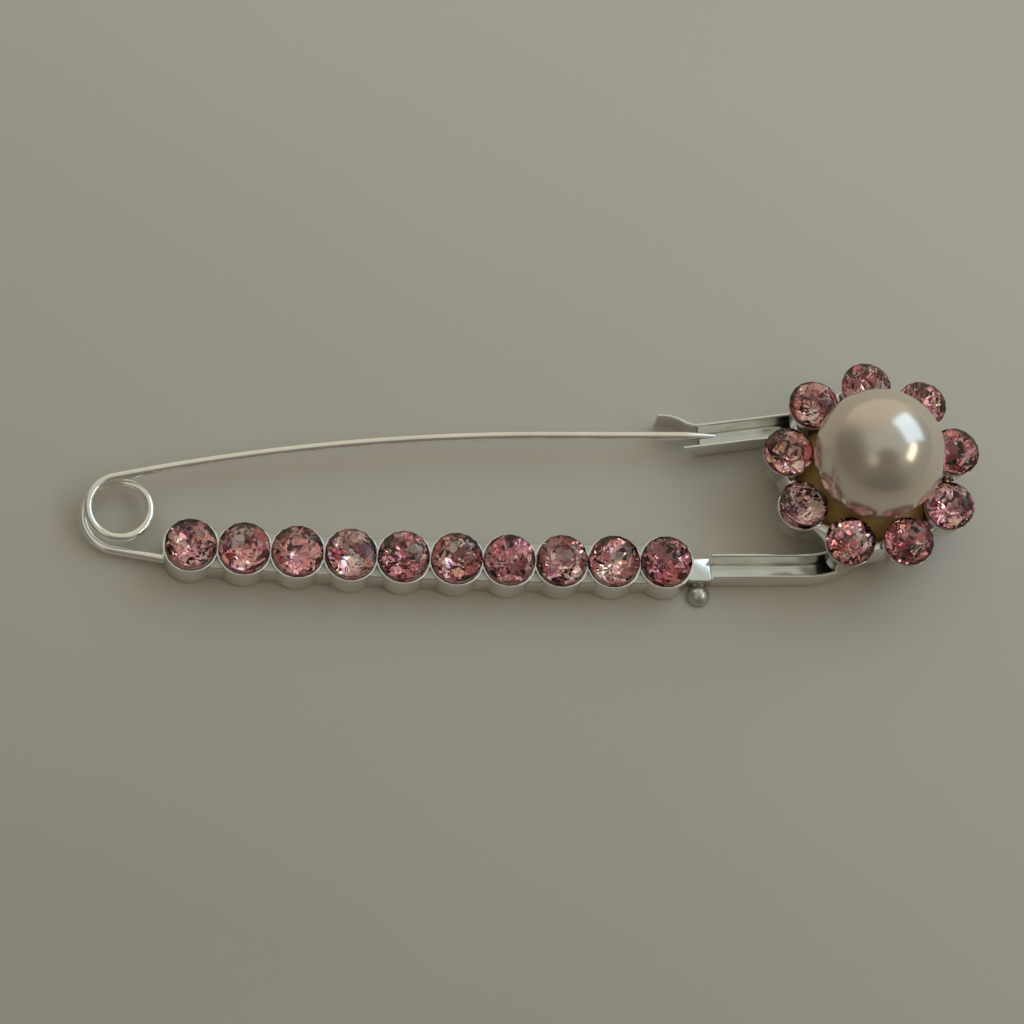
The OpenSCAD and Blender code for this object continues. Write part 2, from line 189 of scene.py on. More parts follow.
# How each stone sits: turn about its axis, tilt and the way it leans, in degrees,
# and how far it stands proud, as a share of the girdle's height
BAR_SEATS = [
    (5, 3, 40, 0.5),
    (21, 2, 160, 0.3),
    (12, 1, 300, 0),
    (33, 2, 80, 0.3),
    (0, 1, 200, 0),
    (16, 2, 20, 0.3),
    (40, 1, 120, 0),
    (27, 2, 250, 0.3),
    (9, 2.5, 330, 0.4),
    (36, 1, 60, 0),
]
FLOWER_SEATS = [
    (14, 2, 0, 0.3),
    (31, 2.5, 60, 0.4),
    (8, 2, 100, 0.3),
    (25, 1, 140, 0),
    (3, 1, 190, 0),
    (19, 13, 45, 2.6),
    (38, 2, 260, 0.3),
    (11, 2.5, 210, 0.4),
    (29, 2, 330, 0.3),
]

# Outside of the glue from its foot upwards: distance from the flower's axis and height above the plate
GLUE_OUTLINE = [
    (5.35, 0),
    (5.5, 0.25),
    (5.42, 0.7),
    (5.12, 1.1),
    (4.8, 1.42),
    (4.55, 1.75),
    (4.4, 2.1),
    (4.33, 2.4),
]

# Layout, from the middle of the bend
LEG_Y = -BEND_R
LEG_END_X = -LOWER_LEG
BAR_CUP_R = BAR_STONE_D / 2 + CUP_WALL
LAST_CUP_X = LEG_END_X - NECK_LEN - BAR_CUP_R
BAR_STEP = 2 * math.asin((BAR_STONE_D + BAR_STONE_SPACE) / 2 / BAR_BOW_R)
STRIP_TOP = BAR_CUP_H - STRIP_DROP
KNOB_PLACE = Vector((LEG_END_X - NECK_LEN + KNOB_ALONG, LEG_Y - KNOB_SIDE, 0))
FLOWER_CUP_R = FLOWER_STONE_D / 2 - FLOWER_RIM_IN
FLOWER_LOW = CHANNEL_H - SOLDER_H
FLOWER_RIM_Z = CHANNEL_H + FLOWER_CUP_H
FLOWER_STEP = math.tau / FLOWER_COUNT
PLATE_TOP = CHANNEL_H + PLATE_H
CATCH_ANGLE = math.pi / 2 + RETURN_ANGLE
WALL_MID = CHANNEL_W / 2 - CHANNEL_WALL / 2

# The pearl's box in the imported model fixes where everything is
PEARL_LOW, PEARL_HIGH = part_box("pearl")
PEARL_MIDDLE = (PEARL_LOW + PEARL_HIGH) / 2 / MM
PEARL_R = (PEARL_HIGH.x - PEARL_LOW.x) / 2 / MM
BEND_PLACE = Vector((PEARL_MIDDLE.x - FLOWER_DX, PEARL_MIDDLE.y - FLOWER_DY, 0))
FLOWER = Vector((FLOWER_DX, FLOWER_DY, 0))
PEARL_Z = PLATE_TOP + PEARL_GAP + PEARL_R

# Camera: its direction from the brooch, what it looks at and its distance in metres, and its lens
CAMERA_AZIMUTH = math.radians(-18)
CAMERA_ELEVATION = math.radians(68)
CAMERA_TARGET = Vector((-1.3303, -1.175, 0)) * MM
CAMERA_DISTANCE = 0.25
CAMERA_NEAR = 0.01
CAMERA_LENS = 113.4
CAMERA_SENSOR = 36

# Half of the table's width, in metres
TABLE_REACH = 1.5

# Room round the table: the base colour, and spots with a direction, an outer and an inner angle
# in degrees between which they fade in, and a colour
ROOM_BASE = (0.30, 0.29, 0.25)
ROOM_SPOTS = (
    ((0, 0, 1), 60, 10, (0.50, 0.52, 0.465)),
    ((0.0, 0.95, 0.3), 60, 20, (0.62, 0.565, 0.445)),
    ((-1.0, -0.2, 0.2), 55, 20, (0.18, 0.16, 0.12)),
    ((0.0, -0.98, 0.15), 50, 15, (0.145, 0.13, 0.11)),
    ((0.0, -0.56, 0.83), 28, 12, (0.20, 0.17, 0.13)),
    ((-0.40, -0.50, 0.77), 13, 5, (0.62, 0.54, 0.42)),
)

# Sockets of the Mix node that hold its two colours and its result
MIX_FIRST = 6
MIX_SECOND = 7
MIX_RESULT = 2


def polar(r, angle):
    """Point at a distance and a direction from the origin."""
    return Vector((r * math.cos(angle), r * math.sin(angle), 0))


def arc(centre, r, start, end, steps):
    """Points on an arc in a flat outline, with its angles in degrees."""
    angles = [math.radians(start + (end - start) * k / steps) for k in range(steps + 1)]
    return [(centre[0] + r * math.cos(a), centre[1] + r * math.sin(a)) for a in angles]


def bar_place(i):
    """Middle of bar cup i, counted from the coil."""
    turn = (BAR_COUNT - i) * BAR_STEP
    x = LAST_CUP_X - BAR_BOW_R * math.sin(turn)
    return Vector((x, LEG_Y + BAR_SIDE + BAR_BOW_R * (1 - math.cos(turn)), 0))


def flower_place(i):
    """Middle of flower cup i, counted from 1."""
    return FLOWER + polar(FLOWER_RING_R, FLOWER_START + (i - 1) * FLOWER_STEP)


def smooth_step(t):
    """Eases from 0 to 1."""
    t = min(max(t, 0), 1)
    return t * t * (3 - 2 * t)


# Modelling helpers


def lathe(bm, profile, centre, steps=ROUND):
    """Spins a profile of (radius, height) points, which starts and ends on the axis, into a solid."""
    points = [bm.verts.new((centre[0] + r, centre[1], z)) for r, z in profile]
    edges = [bm.edges.new(pair) for pair in zip(points, points[1:])]
    bmesh.ops.spin(
        bm,
        geom=points + edges,
        cent=(centre[0], centre[1], 0),
        axis=(0, 0, 1),
        angle=math.tau,
        steps=steps,
        use_merge=True,
    )


def closed(bm):
    """Merges doubled points and turns every face outwards."""
    bmesh.ops.remove_doubles(bm, verts=bm.verts, dist=1e-4)
    bmesh.ops.recalc_face_normals(bm, faces=bm.faces)
    return bm


def with_edges(faces):
    """Faces together with their edges and points."""
    parts = set(faces)
    for face in faces:
        parts.update(face.edges)
        parts.update(face.verts)
    return list(parts)


def push(bm, faces, move):
    """Extrudes faces by a vector and returns the moved ones."""
    made = bmesh.ops.extrude_face_region(bm, geom=with_edges(faces))["geom"]
    points = [part for part in made if isinstance(part, bmesh.types.BMVert)]
    bmesh.ops.translate(bm, verts=points, vec=move)
    return [part for part in made if isinstance(part, bmesh.types.BMFace)]


def bend_round(bm, faces, centre, angle, steps):
    """Extrudes faces round an upright axis and returns the last ones."""
    made = bmesh.ops.spin(
        bm, geom=with_edges(faces), cent=centre, axis=(0, 0, 1), angle=angle, steps=steps
    )["geom_last"]
    return [part for part in made if isinstance(part, bmesh.types.BMFace)]


def round_edges(bm, edges, r, segments=3):
    """Bevels edges to a small radius."""
    bmesh.ops.bevel(
        bm,
        geom=edges,
        offset=r,
        offset_type="OFFSET",
        affect="EDGES",
        segments=segments,
        profile=0.5,
        material=-1,
        clamp_overlap=True,
    )


def block(low, high, r):
    """Box with rounded edges."""
    bm = bmesh.new()
    made = bmesh.ops.create_cube(bm, size=1)["verts"]
    size = Vector(high) - Vector(low)
    bmesh.ops.scale(bm, verts=made, vec=size)
    bmesh.ops.translate(bm, verts=made, vec=Vector(low) + size / 2)
    round_edges(bm, list({edge for v in made for edge in v.link_edges}), r)
    return bm


def rod(bm, r_low, r_high, depth, matrix, sides=HOLE_SIDES):
    """Round rod, or part of a cone, about its middle."""
    bmesh.ops.create_cone(
        bm, cap_ends=True, segments=sides, radius1=r_low, radius2=r_high, depth=depth, matrix=matrix
    )


def placed(name, data):
    """Object of a mesh, a curve, a light or a camera, put in the scene."""
    holder = bpy.data.objects.new(name, data)
    bpy.context.collection.objects.link(holder)
    return holder


def temporary(bm):
    """Object that holds a part for a Boolean modifier."""
    mesh = bpy.data.meshes.new("part")
    closed(bm).to_mesh(mesh)
    bm.free()
    return placed("part", mesh)


def joined(parts, holes=()):
    """Union of the parts, less the holes, as one bmesh."""
    base = temporary(parts[0])
    tools = []
    for operation, group in (("UNION", parts[1:]), ("DIFFERENCE", holes)):
        for part in group:
            modifier = base.modifiers.new("part", "BOOLEAN")
            modifier.operation = operation
            modifier.solver = "MANIFOLD"
            modifier.object = temporary(part)
            tools.append(modifier.object)
    depsgraph = bpy.context.evaluated_depsgraph_get()
    bm = bmesh.new()
    bm.from_object(base, depsgraph)
    for part in [base] + tools:
        mesh = part.data
        bpy.data.objects.remove(part)
        bpy.data.meshes.remove(mesh)
    if not bm.faces:
        raise RuntimeError("the parts could not be joined")
    return bm


def finish_piece(name, bm, nodes, materials, smooth=35):
    """Moves a modelled piece to its place, in metres, and hides the frame's parts that it stands in for.
    """
    mesh = bpy.data.meshes.new(name)
    bm.to_mesh(mesh)
    bm.free()
    mesh.transform(Matrix.Scale(MM, 4) @ Matrix.Translation(BEND_PLACE))
    if smooth:
        mesh.shade_smooth()
        mesh.set_sharp_from_angle(angle=math.radians(smooth))
    else:
        mesh.shade_flat()
    for material in materials:
        mesh.materials.append(material)
    piece = placed(name, mesh)
    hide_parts(*nodes)
    return piece


def silver_piece(name, bm, *more):
    """Piece of the plated casting, which rides on the brooch."""
    silver = bpy.data.materials.get("Silver plate") or silver_plate()
    piece = finish_piece(name, bm, ["frame"], [silver, *more])
    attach(piece, "brooch")


# Material helpers


def add_node(tree, kind, inputs=None, **settings):
    """New node with its settings and the values of its inputs."""
    node = tree.nodes.new(kind)
    for key, value in settings.items():
        setattr(node, key, value)
    for key, value in (inputs or {}).items():
        node.inputs[key].default_value = value
    return node


def link(tree, source, output, target, socket):
    """Joins an output to an input, both by name or number."""
    tree.links.new(source.outputs[output], target.inputs[socket])


def blended(tree, factor, output, first, second):
    """Mix node of two colours, or of nodes that give them, steered by another node's output."""
    mix = add_node(tree, "ShaderNodeMix", data_type="RGBA")
    link(tree, factor, output, mix, "Factor")
    for socket, colour in ((MIX_FIRST, first), (MIX_SECOND, second)):
        if isinstance(colour, tuple):
            mix.inputs[socket].default_value = (*colour, 1)
        else:
            link(tree, colour, MIX_RESULT, mix, socket)
    return mix


def millimetres(tree):
    """Object coordinates in millimetres."""
    place = add_node(tree, "ShaderNodeTexCoord")
    scale = add_node(tree, "ShaderNodeMapping", {"Scale": (1000, 1000, 1000)})
    link(tree, place, "Object", scale, "Vector")
    return scale


def noise(tree, place, scale, detail, **inputs):
    """Cloudy pattern at a scale, in cycles per millimetre."""
    values = {"Scale": scale, "Detail": detail}
    values.update({key.capitalize(): value for key, value in inputs.items()})
    node = add_node(tree, "ShaderNodeTexNoise", values)
    link(tree, place, "Vector", node, "Vector")
    return node


def mask(tree, source, output, low, high):
    """Rises from 0 to 1 as a value goes from low to high."""
    node = add_node(tree, "ShaderNodeMapRange", {"From Min": low, "From Max": high})
    link(tree, source, output, node, "Value")
    return node


def bumped(tree, source, output, shader, strength, depth):
    """Small relief from a pattern, with its depth in millimetres."""
    height = add_node(tree, "ShaderNodeBump", {"Strength": strength, "Distance": depth * MM})
    link(tree, source, output, height, "Height")
    link(tree, height, "Normal", shader, "Normal")


def new_material(name, **values):
    """Material with its tree and its shader, whose sockets are given by name."""
    material = bpy.data.materials.new(name)
    material.use_nodes = True
    tree = material.node_tree
    shader = tree.nodes["Principled BSDF"]
    for key, value in values.items():
        shader.inputs[key.replace("_", " ")].default_value = value
    return material, tree, shader


def toned(colour, shares):
    """Colour with its three channels at shares of themselves, darker or paler, and 1 at most."""
    return tuple(min(channel * share, 1) for channel, share in zip(colour, shares))


def shaded(colour, share):
    """Colour with every channel at the same share of itself."""
    return toned(colour, (share, share, share))


def handling_group():
    """Fine handling marks and a faint film, shared by the polished metals."""
    name = "Handling marks"
    if name in bpy.data.node_groups:
        return bpy.data.node_groups[name]
    group = bpy.data.node_groups.new(name, "ShaderNodeTree")
    sockets = group.interface
    for label, value in (("Film size", 0.35), ("Mark size", 4.0), ("Roughness", 0.08), ("Wear", 0.06)):
        socket = sockets.new_socket(label, in_out="INPUT", socket_type="NodeSocketFloat")
        socket.default_value = value
    for label in ("Film", "Roughness", "Height"):
        sockets.new_socket(label, in_out="OUTPUT", socket_type="NodeSocketFloat")
    inside = add_node(group, "NodeGroupInput")
    outside = add_node(group, "NodeGroupOutput")
    place = millimetres(group)
    film = noise(group, place, 1.0, 3.0, roughness=0.6)
    link(group, inside, "Film size", film, "Scale")
    marks = noise(group, place, 1.0, 4.0, roughness=0.7)
    link(group, inside, "Mark size", marks, "Scale")
    worn = add_node(group, "ShaderNodeMath", operation="MULTIPLY")
    link(group, marks, "Fac", worn, 0)
    link(group, inside, "Wear", worn, 1)
    rough = add_node(group, "ShaderNodeMath", operation="ADD")
    link(group, inside, "Roughness", rough, 0)
    link(group, worn, "Value", rough, 1)
    link(group, film, "Fac", outside, "Film")
    link(group, rough, "Value", outside, "Roughness")
    link(group, marks, "Fac", outside, "Height")
    return group


def polished_metal(name, bright, filmed, roughness, wear, bump, mark_size=4.0):
    """Metal that is bright in places and filmed in others, with handling marks."""
    material, tree, shader = new_material(name, Metallic=1.0)
    marks = add_node(
        tree,
        "ShaderNodeGroup",
        {"Mark size": mark_size, "Roughness": roughness, "Wear": wear},
        node_tree=handling_group(),
    )
    film = mask(tree, marks, "Film", 0.35, 0.7)
    colour = blended(tree, film, "Result", bright, filmed)
    link(tree, colour, MIX_RESULT, shader, "Base Color")
    link(tree, marks, "Roughness", shader, "Roughness")
    bumped(tree, marks, "Height", shader, bump, 0.02)
    return material


# Materials


def silver_plate():
    """Bright plate of the casting."""
    return polished_metal(
        "Silver plate",
        bright=(0.88, 0.875, 0.85),
        filmed=(0.77, 0.76, 0.72),
        roughness=0.12,
        wear=0.10,
        bump=0.25,
    )


def darkened_plate():
    """Darker plate on the strip's top between the cups and on the knob; between the cups it is painted
    shade of the hollows there.
    """
    return polished_metal(
        "Darkened plate",
        bright=(0.60, 0.59, 0.55),
        filmed=(0.50, 0.49, 0.44),
        roughness=0.24,
        wear=0.15,
        bump=0.3,
    )


def spring_steel():
    """Plated spring wire, polished by its drawing."""
    return polished_metal(
        "Nickel wire",
        bright=(0.98, 0.97, 0.94),
        filmed=(0.90, 0.88, 0.83),
        roughness=0.04,
        wear=0.08,
        bump=0.2,
        mark_size=6.0,
    )


def rose_glass(colour):
    """Pressed glass of the crown, tinted right through."""
    material, tree, shader = new_material("Rose glass", IOR=1.56, Transmission_Weight=1.0, Roughness=0.02)
    cloud = noise(tree, millimetres(tree), 0.22, 1.0)
    spread = mask(tree, cloud, "Fac", 0.4, 0.6)
    warm = toned(colour, (1.04, 0.92, 0.86))
    tint = blended(tree, spread, "Result", tuple(colour), warm)
    link(tree, tint, MIX_RESULT, shader, "Base Color")
    return material


def foil_back(colours):
    """Mirror foil behind the stone, broken into small cells, which fades to a dark edge at the girdle;
    the dark edge is painted shade.
    """
    material, tree, shader = new_material("Stone foil", Metallic=1.0, Roughness=0.06)
    place = millimetres(tree)
    cells = add_node(tree, "ShaderNodeTexVoronoi", {"Scale": 1.3})
    link(tree, place, "Vector", cells, "Vector")
    chance = add_node(tree, "ShaderNodeSeparateColor")
    link(tree, cells, "Color", chance, "Color")
    patch = noise(tree, place, 0.55, 2.0, roughness=0.6)
    spots = noise(tree, place, 0.9, 1.0, distortion=0.4)
    from_axis = add_node(tree, "ShaderNodeAttribute", attribute_name="from_axis")
    body = tuple(colours.rose)
    layers = (
        (patch, "Fac", 0.42, 0.62, colours.peach),
        (spots, "Fac", 0.5, 0.68, colours.mauve),
        (chance, "Red", 0.62, 0.68, colours.light),
        (chance, "Green", 0.72, 0.78, colours.dusk),
        # Painted shade: the last layer darkens the foil to the edge colour towards the girdle, for the
        # dark ring seen through the crown's edge.
        (from_axis, "Fac", 0.82, 0.99, colours.edge),
    )
    for source, output, low, high, colour in layers:
        share = mask(tree, source, output, low, high)
        body = blended(tree, share, "Result", body, tuple(colour))
    link(tree, body, MIX_RESULT, shader, "Base Color")
    link(tree, leaning_cells(tree, cells), "Vector", shader, "Normal")
    return material


def leaning_cells(tree, cells):
    """Normal that leans its own way in each cell of the foil."""
    face = add_node(tree, "ShaderNodeNewGeometry")
    centred = add_node(tree, "ShaderNodeVectorMath", operation="SUBTRACT")
    centred.inputs[1].default_value = (0.5, 0.5, 0.5)
    link(tree, cells, "Color", centred, 0)
    lean = add_node(tree, "ShaderNodeVectorMath", {"Scale": 0.62}, operation="SCALE")
    link(tree, centred, "Vector", lean, 0)
    tilted = add_node(tree, "ShaderNodeVectorMath", operation="ADD")
    link(tree, face, "Normal", tilted, 0)
    link(tree, lean, "Vector", tilted, 1)
    normal = add_node(tree, "ShaderNodeVectorMath", operation="NORMALIZE")
    link(tree, tilted, "Vector", normal, 0)
    return normal


def girdle_shade(edge):
    """Unpolished band round a stone, painted dark as shade for the shadowed gap and dark inner reflection
    at its edge.
    """
    material, tree, shader = new_material("Stone girdle shade", Roughness=0.25)
    grain = noise(tree, millimetres(tree), 3.0, 2.0)
    band = blended(tree, grain, "Fac", tuple(edge), shaded(edge, 1.8))
    link(tree, band, MIX_RESULT, shader, "Base Color")
    return material


def pearl_coat(colour):
    """Pearly lacquer: a satin mirror under a thin clear coat, with a painted sheen that makes it paler at
    the limb.
    """
    material, tree, shader = new_material(
        "Pearl lacquer", Metallic=0.8, Coat_Weight=0.15, Coat_Roughness=0.1, Coat_IOR=1.5
    )
    place = millimetres(tree)
    cloud = noise(tree, place, 0.18, 2.0)
    face = blended(tree, cloud, "Fac", tuple(colour), toned(colour, (0.94, 0.97, 1)))
    # Painted reflection: the colour grows paler towards the limb, standing in for the bright grazing
    # reflection of the table.
    limb_sheen = add_node(tree, "ShaderNodeLayerWeight", {"Blend": 0.35})
    whole = blended(tree, limb_sheen, "Facing", face, toned(colour, (1.4, 1.38, 1.28)))
    link(tree, whole, MIX_RESULT, shader, "Base Color")
    grain = noise(tree, place, 9.0, 2.0)
    rough = add_node(tree, "ShaderNodeMapRange", {"To Min": 0.18, "To Max": 0.24})
    link(tree, grain, "Fac", rough, "Value")
    link(tree, rough, "Result", shader, "Roughness")
    return material


def amber_glue(colour):
    """Clear glue that has yellowed."""
    material, tree, shader = new_material(
        "Amber glue",
        IOR=1.5,
        Roughness=0.12,
        Transmission_Weight=0.15,
        Subsurface_Weight=0.3,
        Subsurface_Radius=(1.2 * MM, 0.6 * MM, 0.2 * MM),
        Subsurface_Scale=1.0,
    )
    cloud = noise(tree, millimetres(tree), 0.8, 3.0)
    whole = blended(tree, cloud, "Fac", tuple(colour), shaded(colour, 0.8))
    link(tree, whole, MIX_RESULT, shader, "Base Color")
    bumped(tree, cloud, "Fac", shader, 0.3, 0.1)
    return material


def table_top(colour):
    """Plain painted board with a very fine grain, and painted light: paler towards its far right, where
    the window's light falls, and darker towards its near left.
    """
    material, tree, shader = new_material("Table top", Roughness=0.62)
    shader.inputs["Specular IOR Level"].default_value = 0.35
    place = millimetres(tree)
    cloud = noise(tree, place, 0.02, 3.0)
    far = blended(tree, cloud, "Fac", shaded(colour, 1.18), shaded(colour, 1.12))
    near = blended(tree, cloud, "Fac", shaded(colour, 0.88), shaded(colour, 0.82))
    # Painted light: a ramp across the board from the darker near left to the paler far right.
    across = add_node(tree, "ShaderNodeVectorMath", operation="DOT_PRODUCT")
    across.inputs[1].default_value = (0.005, 0.0115, 0)
    link(tree, place, "Vector", across, 0)
    painted_light_ramp = mask(tree, across, "Value", -0.5, 0.5)
    whole = blended(tree, painted_light_ramp, "Result", near, far)
    link(tree, whole, MIX_RESULT, shader, "Base Color")
    grain = noise(tree, place, 3.0, 4.0)
    bumped(tree, grain, "Fac", shader, 0.1, 0.02)
    return material


# Settings


def length(name, description, default):
    """Size that a user would change, given in millimetres."""
    return bpy.props.FloatProperty(
        name=name, description=description, default=default * MM, min=0.0, unit="LENGTH", precision=5
    )


def colour(name, description, default):
    """Colour that a user would change."""
    return bpy.props.FloatVectorProperty(
        name=name, description=description, default=default, min=0.0, max=1.0, subtype="COLOR"
    )


def power(name, description, default):
    """Power of a light, in watts."""
    return bpy.props.FloatProperty(
        name=name, description=description, default=default, min=0.0, unit="POWER"
    )


class BroochMetalSettings(bpy.types.PropertyGroup):
    rim_edge: length("Rim rounding", "Rounding of the outer edge of a cup's rim", 0.06)
    foot_edge: length("Foot rounding", "Rounding at the foot of a cup", 0.3)
    corner: length("Channel corner", "Outer rounding along the bottom of the head channel", 0.45)
    lip_edge: length("Channel lip", "Rounding along the top of the head channel's walls", 0.11)
    wire_d: length("Wire thickness", "Diameter of the sprung wire", 0.7)


class BroochStoneSettings(bpy.types.PropertyGroup):
    glass: colour("Glass", "Tint of the pressed glass", (1.0, 0.95, 0.955))
    rose: colour("Rose foil", "Main colour of the foil", (1.0, 0.62, 0.65))
    peach: colour("Peach foil", "Warm patches of the foil", (1.0, 0.74, 0.64))
    mauve: colour("Mauve foil", "Cool patches of the foil", (0.80, 0.56, 0.70))
    light: colour("Light foil", "Sparkling cells of the foil", (1.0, 0.92, 0.90))
    dusk: colour("Dusky foil", "Dark cells of the foil", (0.52, 0.20, 0.24))
    # The stone edge colour is painted shade: the dark colour of each stone's girdle and of its foil's
    # edge.
    edge: colour("Stone edge shade", "Colour of the girdle and the foil's edge", (0.20, 0.022, 0.045))


class BroochPearlSettings(bpy.types.PropertyGroup):
    lacquer: colour("Pearl", "Colour of the pearl's lacquer", (0.69, 0.61, 0.53))
    glue: colour("Glue", "Colour of the glue under the pearl", (1.0, 0.62, 0.24))


class BroochStageSettings(bpy.types.PropertyGroup):
    table: colour("Table", "Colour of the table", (0.59, 0.545, 0.48))
    window_power: power("Window power", "Power of the cool window light", 0.8)
    lamp_power: power("Lamp power", "Power of the warm lamp", 0.62)


# Bar of cups


def bar_cup(bm, place, sizes):
    """Outside of a bar cup, as a filled turned shape with a rounded foot and rim."""
    edge = sizes.rim_edge / MM
    foot = sizes.foot_edge / MM
    profile = [(0, 0)]
    profile += arc((BAR_CUP_R - foot, foot), foot, -90, 0, 6)
    profile += arc((BAR_CUP_R - edge, BAR_CUP_H - edge), edge, 0, 90, 4)
    profile += [(0, BAR_CUP_H)]
    lathe(bm, profile, place)


def stone_room(bm, place, d, rim_z):
    """Room for a stone: a cone that follows the pavilion, with a broken edge at the rim."""
    bore_r = d / 2 + SEAT_GAP
    seat_z = rim_z + STONE_STAND - SEAT_DROP
    cone_h = PAVILION_H * 2 * bore_r / d
    mouth = bore_r * (1 - (seat_z - rim_z) / cone_h)
    above = rim_z + 1
    profile = [
        (0, seat_z - cone_h),
        (mouth - ROOM_EDGE * bore_r / cone_h, rim_z - ROOM_EDGE),
        (mouth + ROOM_EDGE, rim_z),
        (mouth + ROOM_EDGE, above),
        (0, above),
    ]
    lathe(bm, profile, place)


def bar_strip():
    """Strip that joins the bar cups, pushed from cup to cup."""
    bm = bmesh.new()
    half = STRIP_W / 2
    foot = STRIP_FOOT_EDGE
    edge = STRIP_TOP_EDGE
    outline = arc((-half + foot, foot), foot, 270, 180, 5)
    outline += arc((-half + edge, STRIP_TOP - edge), edge, 180, 90, 3)
    outline += arc((half - edge, STRIP_TOP - edge), edge, 90, 0, 3)
    outline += arc((half - foot, foot), foot, 0, -90, 5)
    start = bar_place(1)
    faces = [bm.faces.new([bm.verts.new((start.x, start.y + y, z)) for y, z in outline])]
    for i in range(2, BAR_COUNT + 1):
        faces = push(bm, faces, bar_place(i) - bar_place(i - 1))
    return bm


def bar_neck():
    """Neck between the last cup and the channel."""
    low = (LAST_CUP_X, LEG_Y - CHANNEL_W / 2, 0)
    high = (LEG_END_X + NECK_LAP, LEG_Y + CHANNEL_W / 2, NECK_H)
    return block(low, high, NECK_EDGE)


def knob_dome():
    """Low round knob beside the neck."""
    bm = bmesh.new()
    dome_r = (KNOB_R ** 2 + KNOB_H ** 2) / (2 * KNOB_H)
    profile = [(0, 0)] + arc((KNOB_R - KNOB_EDGE, KNOB_EDGE), KNOB_EDGE, -90, -20, 4)
    profile += arc((0, KNOB_H - dome_r), dome_r, 12, 90, 14)[:-1] + [(0, KNOB_H)]
    lathe(bm, profile, KNOB_PLACE, SMALL_ROUND)
    return bm


def knob_bridge():
    """Bridge that joins the knob to the neck."""
    low = (KNOB_PLACE.x - KNOB_R / 2, KNOB_PLACE.y, 0)
    high = (KNOB_PLACE.x + KNOB_R / 2, KNOB_PLACE.y + KNOB_SIDE, KNOB_H * BRIDGE_SHARE)
    return block(low, high, KNOB_EDGE)


def tail_socket(wire_r):
    """Hole in the first cup's foot that holds the tail of the wire."""
    bm = bmesh.new()
    reach = 2 * TAIL_HOLD
    middle = Matrix.Translation(tail_path()[-1] + tail_heading() * (TAIL_GAP - reach / 2))
    along = Matrix.Rotation(-TAIL_SLOPE, 4, "Z") @ Matrix.Rotation(math.pi / 2, 4, "Y")
    rod(bm, wire_r + TAIL_GAP, wire_r + TAIL_GAP, reach, middle @ along, SMALL_ROUND)
    return bm


def darken_hollows(bm):
    """Gives the strip's top between the cups, and the knob, the second material: the darker plate,
    painted shade in the hollows between the cups.
    """
    low = STRIP_TOP - STRIP_TOP_EDGE - FACE_SLACK
    high = STRIP_TOP + FACE_SLACK
    for face in bm.faces:
        on_top = face.normal.z > TOP_SLOPE and all(low < corner.co.z < high for corner in face.verts)
        on_knob = (face.calc_center_median() - KNOB_PLACE).xy.length < KNOB_R
        if on_top or on_knob:
            face.material_index = 1


def stone_bar(sizes):
    """Ten cups on their strip, with the neck and the knob."""
    odd, even, odd_room, even_room = (bmesh.new() for _ in range(4))
    for i in range(1, BAR_COUNT + 1):
        bar_cup(odd if i % 2 else even, bar_place(i), sizes)
        stone_room(odd_room if i % 2 else even_room, bar_place(i), BAR_STONE_D, BAR_CUP_H)
    parts = [odd, even, bar_strip(), bar_neck(), knob_dome(), knob_bridge()]
    bar = joined(parts, [odd_room, even_room, tail_socket(sizes.wire_d / MM / 2)])
    darken_hollows(bar)
    return bar


# Head channel


def channel_outlines(corner, lip):
    """Outer wall, floor and inner wall of the channel, as outlines of (outwards, up) points."""
    out = CHANNEL_W / 2
    face = out - CHANNEL_WALL
    split = math.degrees(math.acos((face - out + corner) / corner))
    wall = arc((out - corner, corner), corner, -split, 0, 6)
    wall += arc((out - lip, CHANNEL_H - lip), lip, 0, 90, 4)
    wall += arc((face + lip, CHANNEL_H - lip), lip, 90, 180, 4)
    wall += [(face, CHANNEL_FLOOR + COVE)]
    under = arc((out - corner, corner), corner, -90, -split, 4)
    fillet = arc((face - COVE, CHANNEL_FLOOR + COVE), COVE, 0, -90, 5)
    left_under = [(-x, z) for x, z in reversed(under)]
    left_fillet = [(-x, z) for x, z in reversed(fillet)]
    floor = left_under + under + fillet + left_fillet
    inner = [(-x, z) for x, z in reversed(wall)]
    return wall, floor, inner


def head_channel(sizes):
    """U-shaped channel round the head, whose outer wall flares and inner wall slants at the catch."""
    bm = bmesh.new()
    points = {}

    def point(x, z):
        key = (round(x, 5), round(z, 5))
        if key not in points:
            points[key] = bm.verts.new((LEG_END_X, LEG_Y - x, z))
        return points[key]

    outlines = channel_outlines(sizes.corner / MM, sizes.lip_edge / MM)
    faces = [bm.faces.new([point(x, z) for x, z in outline]) for outline in outlines]
    start_edges = {edge for face in faces for edge in face.edges if len(edge.link_faces) == 1}
    faces = push(bm, faces, (LOWER_LEG, 0, 0))
    faces = bend_round(bm, faces, (0, 0, 0), math.pi + RETURN_ANGLE, BEND_STEPS)
    back = -polar(1, RETURN_ANGLE)
    faces = push(bm, faces, back * (CATCH_LEG - FLOOR_BACK))
    across = polar(1, CATCH_ANGLE)
    faces.sort(key=lambda face: face.calc_center_median().dot(across))
    outer = flared_end(bm, faces[-1:], back)
    inner = push(bm, faces[:1], back * (FLOOR_BACK + INNER_RUN))
    for corner in inner[0].verts:
        corner.co -= back * INNER_CUT * (1 - corner.co.z / CHANNEL_H)
    closed(bm)
    tips = {edge for face in outer + inner if face.is_valid for edge in face.edges}
    round_edges(bm, [edge for edge in tips if edge.is_valid], CATCH_EDGE)
    round_edges(bm, [edge for edge in start_edges if edge.is_valid], CUT_EDGE, 2)
    return bm


